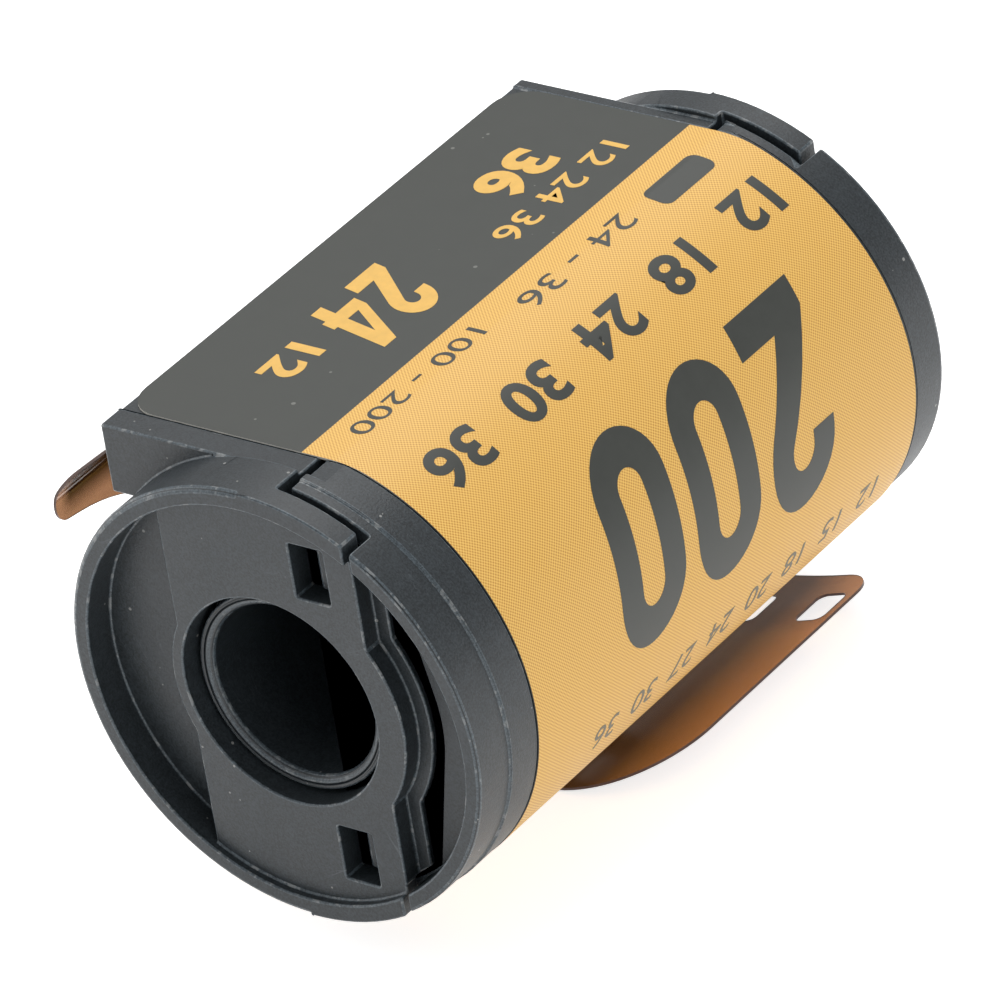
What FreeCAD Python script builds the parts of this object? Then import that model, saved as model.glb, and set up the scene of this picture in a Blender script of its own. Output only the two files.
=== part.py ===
"""35 mm film cartridge, lying on its side on its own film leader.

The case is a clamshell. Its main half carries the end plates and the film lips, and its cover
snaps on from the other side. Inside, the film is wound on a spool that turns freely.

Frame: +Y along the spool's axis, from the open near end into the case; +Z up, square to the flat
label face; the film slot looks to -X. The origin is on the axis, at the mouth of the near bore.
"""
import FreeCAD, Part
import math
import os

# Film
film_width = 35.0
film_near_depth = 4.1      # film edge below the near rim plane
film_far_depth = 2.9
film_thickness = 0.15
perforation_pitch = 4.75
perforation_length = 1.98
perforation_width = 2.8
perforation_corner = 0.5
perforation_edge = 2.01    # film edge to the hole

# Case, along the axis
ring_recess = 1.5          # spool's open end, below the near rim
rim_chamfer = 0.2

# Case, across the axis
rim_radius = 12.5
label_recess = 0.1         # step down from the rims to the label seat
wall = 1.1
rim_wall = 1.0
cover_band_step = 0.1      # the cover's front band is slightly smaller than the rims
cover_band_width = 2.6

# End plates, as depths below the rim planes
plateau_depth = 0.5
near_plate_depth = 2.8
far_plate_depth = 1.8
end_wall = 0.9
ledge_rise = 0.3
cap_wall = 1.4             # rim of the main half where it runs over the cover
cap_slit = 0.45

# End plates, seen along the axis
seam_x = 1.5               # edge of the main half's wall
seam_gap = 0.5
cap_edge_x = 6.1           # edge of the end cap
cap_edge_gap = 0.4
plateau_left_x = -5.85
plateau_left_margin = 0.7  # round the hub hole, where the edge bulges
plateau_right_x = 6.15
plateau_right_margin = 1.7
ledge_width = 0.85
ledge_gap = 0.4
shell_clearance = 0.2      # end plate to the cover's inner wall

# Snap windows and hooks
window_x = (2.3, 4.4)
window_height = 3.15
window_to_wall = 1.4
hook_inner_margin = 0.25   # hook to the window's inner end
hook_outer_margin = 0.4
hook_thickness = 0.6
hook_clearance = 0.1
hook_tip_x = 2.75
barb_length = 1.3
barb_rise = 0.75

# Lap that closes the straight seam to light
lap_reach = 1.8
lap_wall = 0.45
lap_clearance = 0.1

# Lips and slot
lip_inset = 1.6            # lip face inside the rim's reach
flat_drop = 0.4            # flat below the top of the rims
lip_height = 3.95
lip_near_depth = 3.23
lip_far_depth = 1.98
slot_drop = 2.0            # film below the flat
slot_height = 1.9
slot_end_gap = 0.2         # film edge to the slot's cheeks
felt_gap = 0.05
felt_setback = 0.2
felt_width = 3.6

# Spool
spool_ring_radius = 5.65
hub_step = 0.25            # the free hub is slimmer than the stretch in the case
spool_bore_radius = 4.9
hub_clearance = 0.3
core_radius = 5.8
core_bore_radius = 4.4     # past the key
flange_to_wall = 0.9
flange_thickness = 0.75
flange_gap = 0.2           # film edge to the flange
hub_length = 5.0           # beyond the far rim
key_depth = 8.5
key_width = 1.6
key_thickness = 1.6
web_thickness = 1.5
bore_chamfer = 0.25
winding_clearance = 0.03
roll_gap = 0.3             # wound film to the leader above it
anchor_slit = 0.8
anchor_margin = 2.0

# Leader's path, from inside the case to its end
leader_start_x = 1.0
mouth_inset = 0.1          # the film starts to bend just inside the lips
mouth_bend_radius = 1.5
slant_angle = 39.0
slant_length = 2.7
shoulder_radius = 10.0
shoulder_angle = 13.0
elbow_radius = 1.75
left_arc_radius = 12.3
leader_drop = 2.5          # below the rims
rest_length = 4.8
heel_radius = 9.0
heel_angle = 12.0
tongue_arc_radius = 40.0
tongue_arc_angle = 7.9

# Leader's outline
tongue_width = 21.8
cut_drop = 1.0             # start of the cut below the elbow
cut_corner = 0.9           # where the film's edge turns into the cut
tongue_near_corner = 6.0
tongue_far_corner = 2.0
end_to_perforation = 1.5

# Label
label_thickness = 0.12
label_seat_gap = 0.02
label_near_depth = 4.87
label_far_depth = 2.76
label_edge_gap = 0.05
label_end_angle = 152.0    # under the lips
label_left_margin = 0.1
label_corner = 2.0

# What follows from these
near_face_y = -ring_recess
film_near_y = near_face_y + film_near_depth
film_far_y = film_near_y + film_width
far_face_y = film_far_y + film_far_depth
inner_radius = rim_radius - label_recess - wall
flange_radius = inner_radius - flange_to_wall
lip_left_x = lip_inset - rim_radius
lip_top_z = rim_radius - flat_drop
lip_bottom_z = lip_top_z - lip_height
slot_z = lip_top_z - slot_drop
label_seat_radius = rim_radius - label_recess
label_near_y = near_face_y + label_near_depth
label_far_y = far_face_y - label_far_depth
label_seat_z = lip_top_z - label_recess
lip_near_y = near_face_y + lip_near_depth
lip_far_y = far_face_y - lip_far_depth
inner_near_y = near_face_y + near_plate_depth
inner_far_y = far_face_y - far_plate_depth
rim_inner_radius = rim_radius - rim_wall
cover_edge_x = seam_x + seam_gap
cover_front_x = cap_edge_x + cap_edge_gap
hub_hole_radius = spool_ring_radius + hub_clearance
plateau_left_bulge = hub_hole_radius + plateau_left_margin
plateau_right_bulge = hub_hole_radius + plateau_right_margin
window_top_z = inner_radius - window_to_wall
window_z = (window_top_z - window_height, window_top_z)
hook_z = (window_z[0] + hook_inner_margin, window_z[1] - hook_outer_margin)
spool_far_y = far_face_y + hub_length
hub_radius = spool_ring_radius - hub_step
roll_radius = slot_z - film_thickness / 2 - roll_gap
leader_bottom_z = -(rim_radius + leader_drop)
slant = math.radians(slant_angle)
shoulder_slope = math.radians(slant_angle + shoulder_angle)
slant_top_z = slot_z - mouth_bend_radius * (1 - math.cos(slant))
slant_foot_z = slant_top_z - slant_length * math.sin(slant)
shoulder_foot_z = slant_foot_z - shoulder_radius * (math.cos(slant) - math.cos(shoulder_slope))
elbow_foot_z = shoulder_foot_z - elbow_radius * math.cos(shoulder_slope)
cut_start_z = elbow_foot_z - cut_drop
ENDS = {
    "near": (near_face_y, 1, near_plate_depth),
    "far": (far_face_y, -1, far_plate_depth),
}
BIG = 3 * rim_radius       # past everything, across the axis


def box(x_span, y_span, z_span):
    """Box between two limits on each axis."""
    low = FreeCAD.Vector(min(x_span), min(y_span), min(z_span))
    sizes = [max(span) - min(span) for span in (x_span, y_span, z_span)]
    return Part.makeBox(*sizes, low)


def disc(radius, y_span, x=0.0, z=0.0):
    """Cylinder along Y."""
    low, high = min(y_span), max(y_span)
    return Part.makeCylinder(radius, high - low, FreeCAD.Vector(x, low, z), FreeCAD.Vector(0, 1, 0))


def ring(outer, inner, y_span):
    """Tube along Y."""
    return disc(outer, y_span).cut(disc(inner, y_span))


def revolved(profile):
    """Solid turned about the Y axis from a closed list of (radius, y)."""
    points = [FreeCAD.Vector(radius, y, 0) for radius, y in profile]
    face = Part.Face(Part.makePolygon(points + points[:1]))
    return face.revolve(FreeCAD.Vector(0, 0, 0), FreeCAD.Vector(0, 1, 0), 360)


def depth_span(end, start, stop):
    """Y limits of a slab between two depths below an end's rim plane."""
    face_y, inward, _ = ENDS[end]
    return (face_y + inward * start, face_y + inward * stop)


def left_of(edge_x, bulge_radius, y_span):
    """Everything left of an upright edge that bulges round the hub."""
    return box((-BIG, edge_x), y_span, (-BIG, BIG)).fuse(disc(bulge_radius, y_span))


def rest_of(edge_x, bulge_radius, outer_radius, y_span):
    """Crescent right of an upright edge that bulges round the hub."""
    return disc(outer_radius, y_span).cut(left_of(edge_x, bulge_radius, y_span))


def case_outline():
    """Outside of the closed case: the barrel with its rims, the lips and the label seat."""
    barrel = revolved([
        (0, near_face_y),
        (rim_radius - rim_chamfer, near_face_y),
        (rim_radius, near_face_y + rim_chamfer),
        (rim_radius, far_face_y - rim_chamfer),
        (rim_radius - rim_chamfer, far_face_y),
        (0, far_face_y),
    ])
    lip_span = (lip_near_y, lip_far_y)
    seat_span = (label_near_y, label_far_y)
    lips = box((lip_left_x, 0), lip_span, (lip_bottom_z, lip_top_z))
    above_flat = box((-BIG, BIG), lip_span, (lip_top_z, BIG))
    above_seat = box((-BIG, BIG), seat_span, (label_seat_z, BIG))
    around_seat = ring(BIG, label_seat_radius, seat_span)
    barrel = barrel.cut(above_flat).cut(around_seat)
    return barrel.fuse(lips).cut(above_seat)


def cavity():
    """Room for the wound spool between the end plates."""
    return disc(inner_radius, (inner_near_y, inner_far_y))


def lap_tongues():
    """Two thin strips of the main half that run under the cover along the straight seam."""
    outer = inner_radius - lap_clearance
    span = (inner_near_y, inner_far_y)
    root = ring(inner_radius + lap_clearance, outer - lap_wall, span)
    root = root.common(box((seam_x - lap_reach, seam_x), span, (-BIG, BIG)))
    tip = ring(outer, outer - lap_wall, span)
    tip = tip.common(box((seam_x, seam_x + seam_gap + lap_reach), span, (-BIG, BIG)))
    return root.fuse(tip)


def end_cap(end):
    """Rim and end plate of the main half, right of the seam."""
    plate_depth = ENDS[end][2]
    rim_span = depth_span(end, 0, cap_wall)
    cap = disc(rim_radius, rim_span).common(box((0, cap_edge_x), rim_span, (-BIG, BIG)))
    plate_span = depth_span(end, 0, plate_depth)
    plate = disc(inner_radius - shell_clearance, plate_span)
    edge = left_of(plateau_right_x + ledge_width, plateau_right_bulge + ledge_width, plate_span)
    return cap.fuse(plate.common(edge))


def end_recesses(end):
    """What is sunk into an end of the main half: plateau, left crescent, ledge, hub and windows."""
    plate_depth = ENDS[end][2]
    floor_depth = plate_depth - end_wall
    sunk = disc(rim_inner_radius, depth_span(end, -1, plateau_depth))
    span = depth_span(end, -1, floor_depth)
    keep = box((plateau_left_x, BIG), span, (-BIG, BIG)).fuse(disc(plateau_left_bulge, span))
    sunk = sunk.fuse(disc(rim_inner_radius, span).cut(keep))
    span = depth_span(end, -1, floor_depth - ledge_rise)
    sunk = sunk.fuse(rest_of(plateau_right_x, plateau_right_bulge, rim_inner_radius, span))
    through = depth_span(end, -1, plate_depth + 1)
    sunk = sunk.fuse(disc(hub_hole_radius, through))
    roof = plate_depth - hook_thickness - 2 * hook_clearance
    tunnel_span = depth_span(end, roof, plate_depth + hook_clearance)
    for side in (1, -1):
        window = box(window_x, through, (side * window_z[0], side * window_z[1]))
        low = side * (hook_z[0] - hook_clearance)
        high = side * (hook_z[1] + hook_clearance)
        tunnel = box((window_x[0], rim_radius), tunnel_span, (low, high))
        sunk = sunk.fuse([window, tunnel])
    return sunk


def film_slot():
    """Slot between the lips, open to the left and into the case."""
    span = (film_near_y - slot_end_gap, film_far_y + slot_end_gap)
    low = slot_z - slot_height / 2
    inner_x = -math.sqrt(inner_radius ** 2 - (low + slot_height) ** 2)
    return box((lip_left_x - 1, inner_x), span, (low, low + slot_height))


def case_main():
    """Half of the case with the lips, the end plates and the snap windows."""
    left_side = box((-BIG, seam_x), (near_face_y, far_face_y), (-BIG, BIG))
    shape = case_outline().common(left_side)
    shape = shape.fuse([end_cap(end) for end in ENDS])
    shape = shape.cut(cavity())
    shape = shape.fuse(lap_tongues())
    shape = shape.cut([end_recesses(end) for end in ENDS])
    shape = shape.cut(film_slot())
    return shape.removeSplitter()


def snap_hooks(end):
    """Two flat hooks of the cover, each with a barb that stands in a window."""
    plate_depth = ENDS[end][2]
    bottom = plate_depth - hook_clearance
    top = bottom - hook_thickness
    inside_wall = disc(inner_radius + label_recess, depth_span(end, top, bottom))
    hooks = []
    for side in (1, -1):
        z_span = (side * hook_z[0], side * hook_z[1])
        arm = box((hook_tip_x, rim_radius), depth_span(end, top, bottom), z_span)
        arm = arm.common(inside_wall)
        tip_y = depth_span(end, top, top - barb_rise)
        z = min(z_span)
        outline = Part.makePolygon([
            FreeCAD.Vector(hook_tip_x, tip_y[0], z),
            FreeCAD.Vector(hook_tip_x + barb_length, tip_y[0], z),
            FreeCAD.Vector(hook_tip_x + barb_length, tip_y[1], z),
            FreeCAD.Vector(hook_tip_x + barb_length / 2, tip_y[1], z),
            FreeCAD.Vector(hook_tip_x, tip_y[0], z),
        ])
        barb = Part.Face(outline).extrude(FreeCAD.Vector(0, 0, hook_z[1] - hook_z[0]))
        hooks.append(arm.fuse(barb))
    return hooks


def cover_end(end):
    """Crescent floor of the cover beside the end plate."""
    plate_depth = ENDS[end][2]
    span = depth_span(end, plate_depth - end_wall, plate_depth)
    edge_x = plateau_right_x + ledge_width + ledge_gap
    bulge = plateau_right_bulge + ledge_width + ledge_gap
    return rest_of(edge_x, bulge, rim_inner_radius + rim_wall / 2, span)


def case_cover():
    """Half shell that snaps on from the right, with its rims, end crescents and hooks."""
    whole = (near_face_y, far_face_y)
    shape = case_outline().common(box((cover_edge_x, BIG), whole, (-BIG, BIG)))
    shape = shape.cut(disc(inner_radius, whole))
    for end in ENDS:
        plate_depth = ENDS[end][2]
        front = depth_span(end, -1, cap_wall + cap_slit)
        shape = shape.cut(box((0, cover_front_x), front, (-BIG, BIG)))
        shape = shape.cut(disc(rim_inner_radius, depth_span(end, -1, plate_depth - end_wall)))
        band = depth_span(end, -1, cover_band_width)
        shape = shape.cut(ring(BIG, rim_radius - cover_band_step, band))
        shape = shape.fuse([cover_end(end)] + snap_hooks(end))
    return shape.removeSplitter()


def key_bar(y_span):
    """Bar across the narrow part of a bore, which the camera's fork turns."""
    half = key_width / 2
    bar = box((-half, half), y_span, (-core_radius, core_radius))
    return bar.common(disc((core_bore_radius + core_radius) / 2, y_span))


def spool():
    """Core tube with two flanges, open near end, hub at the far end and a key bar in each bore."""
    near_flange = film_near_y - flange_gap
    far_flange = film_far_y + flange_gap
    middle = (film_near_y + film_far_y) / 2
    body = revolved([
        (spool_bore_radius + bore_chamfer, 0),
        (spool_ring_radius, 0),
        (spool_ring_radius, near_flange - flange_thickness),
        (flange_radius, near_flange - flange_thickness),
        (flange_radius, near_flange),
        (core_radius, near_flange),
        (core_radius, far_flange),
        (flange_radius, far_flange),
        (flange_radius, far_flange + flange_thickness),
        (spool_ring_radius, far_flange + flange_thickness),
        (spool_ring_radius, far_face_y),
        (hub_radius, far_face_y),
        (hub_radius, spool_far_y - bore_chamfer),
        (hub_radius - bore_chamfer, spool_far_y),
        (spool_bore_radius, spool_far_y),
        (spool_bore_radius, spool_far_y - key_depth),
        (core_bore_radius, spool_far_y - key_depth),
        (core_bore_radius, middle + web_thickness / 2),
        (0, middle + web_thickness / 2),
        (0, middle - web_thickness / 2),
        (core_bore_radius, middle - web_thickness / 2),
        (core_bore_radius, key_depth),
        (spool_bore_radius, key_depth),
        (spool_bore_radius, bore_chamfer),
    ])
    near_key = key_bar((key_depth, key_depth + key_thickness))
    far_key = key_bar((spool_far_y - key_depth - key_thickness, spool_far_y - key_depth))
    slit = box((core_bore_radius / 2, core_radius + 1),
               (film_near_y + anchor_margin, middle - web_thickness),
               (-anchor_slit / 2, anchor_slit / 2))
    return body.fuse([near_key, far_key]).cut(slit).removeSplitter()


def film_roll():
    """Wound film, on the spool's core and between its flanges."""
    return ring(roll_radius, core_radius + winding_clearance, (film_near_y, film_far_y))


def leader_path():
    """Leader's centre line as steps of ("run", length) or ("bend", radius, degrees)."""
    return [
        ("run", leader_start_x - lip_left_x - mouth_inset),
        ("bend", mouth_bend_radius, slant_angle),
        ("run", slant_length),
        ("bend", shoulder_radius, shoulder_angle),
        ("bend", elbow_radius, 90.0 - slant_angle - shoulder_angle),
        ("run", elbow_foot_z - (leader_bottom_z + left_arc_radius)),
        ("bend", left_arc_radius, 90.0),
        ("run", rest_length),
        ("bend", heel_radius, heel_angle),
        ("bend", tongue_arc_radius, tongue_arc_angle),
    ]


class Walker:
    """Point and heading that follow the leader's path in the XZ plane, turning left."""

    def __init__(self):
        self.x, self.z, self.heading = leader_start_x, slot_z, 180.0

    def side(self, offset):
        """Point at an offset to the left of the path."""
        angle = math.radians(self.heading)
        x = self.x - offset * math.sin(angle)
        z = self.z + offset * math.cos(angle)
        return FreeCAD.Vector(x, film_near_y, z)

    def run(self, length):
        angle = math.radians(self.heading)
        self.x += length * math.cos(angle)
        self.z += length * math.sin(angle)

    def bend(self, radius, degrees):
        centre = self.side(radius)
        self.heading += degrees
        angle = math.radians(self.heading)
        self.x = centre.x + radius * math.sin(angle)
        self.z = centre.z - radius * math.cos(angle)


def leader_edge(offset):
    """Edges of the leader's section on one side of its centre line."""
    walker = Walker()
    edges = []
    for kind, size, *turn in leader_path():
        start = walker.side(offset)
        if kind == "run":
            walker.run(size)
            edges.append(Part.LineSegment(start, walker.side(offset)).toShape())
        else:
            walker.bend(size, turn[0] / 2)
            middle = walker.side(offset)
            walker.bend(size, turn[0] / 2)
            edges.append(Part.Arc(start, middle, walker.side(offset)).toShape())
    return edges


def leader_band():
    """Leader at full width, before it is cut to outline."""
    half = film_thickness / 2
    left, right = leader_edge(half), leader_edge(-half)
    caps = []
    for index in (0, -1):
        pair = [side[index].Vertexes[index].Point for side in (left, right)]
        caps.append(Part.LineSegment(*pair).toShape())
    wire = Part.Wire(Part.__sortEdges__(left + right + caps))
    return Part.Face(wire).extrude(FreeCAD.Vector(0, film_width, 0))


def path_length():
    """Length of the leader along its centre line."""
    total = 0.0
    for kind, size, *turn in leader_path():
        total += size if kind == "run" else size * math.radians(turn[0])
    return total


def walk_to(distance):
    """Walker at a distance along the path."""
    walker = Walker()
    for kind, size, *turn in leader_path():
        length = size if kind == "run" else size * math.radians(turn[0])
        step = min(distance, length)
        if kind == "run":
            walker.run(step)
        else:
            walker.bend(size, math.degrees(step / size))
        distance -= step
        if distance <= 0:
            break
    return walker


def perforation(distance, y):
    """Cutter for one rounded hole, square to the film."""
    walker = walk_to(distance)
    reach = 2.0
    hole = Part.makeBox(perforation_length, perforation_width, reach,
                        FreeCAD.Vector(-perforation_length / 2, -perforation_width / 2, -reach / 2))
    upright = [edge for edge in hole.Edges if abs(edge.tangentAt(0).z) > 0.5]
    hole = hole.makeFillet(perforation_corner, upright)
    hole.rotate(FreeCAD.Vector(0, 0, 0), FreeCAD.Vector(0, 1, 0), -walker.heading)
    hole.translate(FreeCAD.Vector(walker.x, y, walker.z))
    return hole


def perforations():
    """Holes along the far edge, and along the near edge where the leader is full width."""
    inset = perforation_edge + perforation_width / 2
    holes = []
    distance = path_length() - end_to_perforation
    while distance > perforation_length:
        holes.append(perforation(distance, film_far_y - inset))
        place = walk_to(distance)
        full_width = place.z > cut_start_z + perforation_length
        if full_width:
            holes.append(perforation(distance, film_near_y + inset))
        distance -= perforation_pitch
    return holes


def leader_cut():
    """Space beside the tongue, with the round inside corner where the leader narrows."""
    radius = film_width - tongue_width
    tongue_y = film_near_y + radius
    centre = FreeCAD.Vector(-BIG, film_near_y, cut_start_z - radius)
    round_part = Part.makeCylinder(radius, 2 * BIG, centre, FreeCAD.Vector(1, 0, 0))
    beside = box((-BIG, BIG), (film_near_y - 1, tongue_y), (-BIG, centre.z))
    corner = box((-BIG, BIG), (film_near_y - 1, film_near_y + cut_corner),
                 (cut_start_z - 1, cut_start_z + cut_corner))
    corner_axis = FreeCAD.Vector(-BIG, film_near_y + cut_corner, cut_start_z + cut_corner)
    corner = corner.cut(Part.makeCylinder(cut_corner, 2 * BIG, corner_axis, FreeCAD.Vector(1, 0, 0)))
    return round_part.fuse([beside, corner])


def corner_cut(x, y, inward_y, radius):
    """Upright cutter that rounds one corner of the tongue."""
    reach = 1.0
    square = box((x - radius, x + reach), (y - inward_y * reach, y + inward_y * radius), (-BIG, 0))
    centre = FreeCAD.Vector(x - radius, y + inward_y * radius, -BIG)
    return square.cut(Part.makeCylinder(radius, BIG, centre, FreeCAD.Vector(0, 0, 1)))


def film_leader():
    """Perforated end of the film: out of the slot, round under the case, up at the right."""
    tip_x = walk_to(path_length()).x
    tongue_y = film_near_y + film_width - tongue_width
    shape = leader_band().cut(leader_cut())
    shape = shape.cut(corner_cut(tip_x, tongue_y, 1, tongue_near_corner))
    shape = shape.cut(corner_cut(tip_x, film_far_y, -1, tongue_far_corner))
    return shape.cut(perforations())


def felt(side):
    """Plush strip of the light trap, above or below the film."""
    span = (film_near_y - slot_end_gap, film_far_y + slot_end_gap)
    inner = slot_z + side * (film_thickness / 2 + felt_gap)
    outer = slot_z + side * slot_height / 2
    left = lip_left_x + felt_setback
    return box((left, left + felt_width), span, (inner, outer))


def label_band(offset):
    """Solid inside the label's face at an offset above its seat, from the lips to under them."""
    span = (label_near_y + label_edge_gap, label_far_y - label_edge_gap)
    radius = label_seat_radius + offset
    top = label_seat_z + offset
    barrel = disc(radius, span).cut(box((-BIG, BIG), span, (top, BIG)))
    flat = box((lip_left_x + label_left_margin, 0), span, (0, top))
    return barrel, flat


def label():
    """Paper label, over the flat, round the barrel and up to the lips."""
    outer_barrel, outer_flat = label_band(label_seat_gap + label_thickness)
    inner_barrel, inner_flat = label_band(label_seat_gap)
    span = (label_near_y, label_far_y)
    angle = math.radians(label_end_angle)
    end_x, end_z = BIG * math.cos(angle), BIG * math.sin(angle)
    gap = Part.Face(Part.makePolygon([
        FreeCAD.Vector(0, label_near_y, 0),
        FreeCAD.Vector(end_x, label_near_y, end_z),
        FreeCAD.Vector(0, label_near_y, BIG),
        FreeCAD.Vector(0, label_near_y, 0),
    ])).extrude(FreeCAD.Vector(0, label_far_y - label_near_y, 0))
    barrel = outer_barrel.cut(inner_barrel).cut(gap)
    inner_top = label_seat_z + label_seat_gap
    flat = outer_flat.cut(box((-BIG, 1), span, (-1, inner_top)))
    sheet = barrel.fuse(flat).removeSplitter()
    corners = [edge for edge in sheet.Edges
               if abs(edge.BoundBox.XMax - (lip_left_x + label_left_margin)) < 0.001
               and edge.BoundBox.YLength < 0.001 and edge.BoundBox.ZMin > lip_bottom_z]
    return sheet.makeFillet(label_corner, corners)


NODES = {
    "case_main": case_main,
    "case_cover": case_cover,
    "spool": spool,
    "film_roll": film_roll,
    "film_leader": film_leader,
    "felt_upper": lambda: felt(1),
    "felt_lower": lambda: felt(-1),
    "label": label,
}

os.makedirs("parts", exist_ok=True)
for name, make in NODES.items():
    solid = make()
    solid.exportStep(f"parts/{name}.step")
    print(f"{name}: {len(solid.Solids)} solid, {solid.Volume:.1f} mm3, valid {solid.isValid()}")
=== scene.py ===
"""Finish of a 35 mm film cartridge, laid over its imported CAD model."""

import math

import bmesh
import bpy
from mathutils import Matrix, Vector
from mathutils.bvhtree import BVHTree


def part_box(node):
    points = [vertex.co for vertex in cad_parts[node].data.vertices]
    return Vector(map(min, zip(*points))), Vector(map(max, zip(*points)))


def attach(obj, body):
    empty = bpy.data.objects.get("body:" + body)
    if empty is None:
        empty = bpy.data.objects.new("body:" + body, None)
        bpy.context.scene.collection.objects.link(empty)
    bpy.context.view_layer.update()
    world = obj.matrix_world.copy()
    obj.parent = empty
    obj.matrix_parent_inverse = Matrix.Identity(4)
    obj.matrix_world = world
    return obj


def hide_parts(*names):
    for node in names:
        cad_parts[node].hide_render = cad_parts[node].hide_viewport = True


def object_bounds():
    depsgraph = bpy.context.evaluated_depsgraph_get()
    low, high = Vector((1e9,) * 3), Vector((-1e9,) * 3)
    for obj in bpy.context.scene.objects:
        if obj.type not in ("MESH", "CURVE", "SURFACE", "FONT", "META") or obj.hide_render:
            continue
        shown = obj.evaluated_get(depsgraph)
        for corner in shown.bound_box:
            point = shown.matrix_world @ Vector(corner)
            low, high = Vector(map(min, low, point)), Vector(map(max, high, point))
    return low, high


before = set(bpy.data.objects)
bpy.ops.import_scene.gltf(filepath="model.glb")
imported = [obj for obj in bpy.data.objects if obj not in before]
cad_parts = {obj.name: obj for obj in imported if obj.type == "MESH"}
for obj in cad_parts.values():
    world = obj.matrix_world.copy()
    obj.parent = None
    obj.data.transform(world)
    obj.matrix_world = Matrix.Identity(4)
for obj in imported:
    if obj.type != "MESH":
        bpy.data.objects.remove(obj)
CAD_LOW, CAD_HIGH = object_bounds()

bl_info = {
    "name": "Film Cartridge Finish",
    "version": (1, 0, 0),
    "blender": (4, 5, 0),
    "location": "View3D > Sidebar > Cartridge",
    "description": "Dresses a 35 mm film cartridge: case, printed label, film and light trap",
    "category": "Object",
}

MM = 0.001
MERGE_DISTANCE = 0.001 * MM
FLAT_ANGLE = 0.001             # in a flat drawing
CAD_ANGLE = math.radians(0.3)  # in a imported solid
ROUND_TOLERANCE = 0.02 * MM    # how far a round wall's corners may be off its radius
ROUNDED_EDGE = 1               # material place of the rounded edges
STRAY = 0.45                   # share of the edge's width a round may leave the solid by

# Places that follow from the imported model
CASE_LOW, CASE_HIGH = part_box("case_main")
COVER_LOW, COVER_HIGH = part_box("case_cover")
LABEL_LOW, LABEL_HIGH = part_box("label")
LEADER_LOW, LEADER_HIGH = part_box("film_leader")
FELT_LOW, FELT_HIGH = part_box("felt_upper")

# The label's path across the axis: the flat, then round the barrel and under the lips
LIP_FACE_X = -10.9 * MM
FLAT_LEFT_X = LIP_FACE_X + 0.1 * MM
LABEL_RADIUS = LABEL_HIGH.x
FLAT_Z = LABEL_HIGH.z
FLAT_RIGHT_X = math.sqrt(LABEL_RADIUS ** 2 - FLAT_Z ** 2)
FLAT_LENGTH = FLAT_RIGHT_X - FLAT_LEFT_X
BARREL_START = math.acos(FLAT_RIGHT_X / LABEL_RADIUS)
BARREL_END = math.radians(152.0 - 360.0)
LABEL_LENGTH = FLAT_LENGTH + (BARREL_START - BARREL_END) * LABEL_RADIUS
LABEL_THICKNESS = 0.12 * MM
BEND_REACH = 1.1 * MM          # half the soft bend between the flat and the barrel

# Camera that matches the photograph, in the frame's own axes
CAMERA_PLACE = (261.685 * MM, -293.564 * MM, 246.428 * MM)
CAMERA_RIGHT = (0.809987, 0.569560, -0.139726)
CAMERA_UP = (-0.202848, 0.495651, 0.844502)
CAMERA_BACK = (0.550249, -0.655692, 0.517005)
CAMERA_LENS = 337.09
SENSOR_WIDTH = 36.0


# Settings a user would change

UNITS = {
    "length": {"subtype": "DISTANCE", "unit": "LENGTH", "precision": 5},
    "colour": {"subtype": "COLOR", "min": 0.0, "max": 1.0},
    "share": {"subtype": "FACTOR", "min": 0.0, "max": 1.0},
    "power": {"subtype": "POWER", "unit": "POWER", "min": 0.0},
}


def setting(unit, name, description, default):
    """Property of a known unit. The default of a length is in mm."""
    if unit == "length":
        default *= MM
    make = bpy.props.FloatVectorProperty if unit == "colour" else bpy.props.FloatProperty
    return make(name=name, description=description, default=default, **UNITS[unit])


class CaseSettings(bpy.types.PropertyGroup):
    """Moulded black plastic of the case and the spool."""
    plastic: setting("colour", "Colour", "Colour of the moulded plastic", (0.021, 0.0265, 0.0305))
    roughness: setting("share", "Roughness", "Roughness of the moulded faces", 0.42)
    grain: setting("length", "Grain", "Size of the mould's fine grain", 0.12)
    edge: setting("length", "Edge", "Width of the round on moulded edges", 0.11)
    dust: setting("share", "Dust", "How much pale dust lies on the plastic", 0.5)


class LabelSettings(bpy.types.PropertyGroup):
    """Printed paper label."""
    orange: setting("colour", "Orange", "Colour of the large field", (0.88, 0.525, 0.12))
    dark: setting("colour", "Dark", "Colour of the dark field and numerals", (0.052, 0.056, 0.05))
    grey: setting("colour", "Grey", "Colour of the thin row of numerals", (0.14, 0.125, 0.085))
    paper: setting("colour", "Paper", "Colour of the paper's cut edge", (0.8, 0.77, 0.7))
    boundary: setting("length", "Boundary", "From the label's left edge to the orange field", 11.2)
    corner: setting("length", "Corner", "Radius of the label's left corners", 2.0)
    screen: setting("length", "Screen", "Pitch of the printed line screen", 0.15)
    slice: setting("length", "Slice", "Longest step of the label's mesh round the barrel", 0.4)
    ink: setting("length", "Ink", "Thickness of the printed numerals", 0.012)


class FilmSettings(bpy.types.PropertyGroup):
    """Film leader and the film on the spool."""
    base: setting("colour", "Base", "Colour of light that has passed through the film",
                  (0.36, 0.138, 0.034))
    wound: setting("colour", "Wound", "Colour of the film wound on the spool", (0.1, 0.035, 0.018))
    pitch: setting("length", "Pitch", "Pitch of the perforations", 4.75)
    slice: setting("length", "Slice", "Longest step of the leader's mesh along its path", 0.3)


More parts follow.
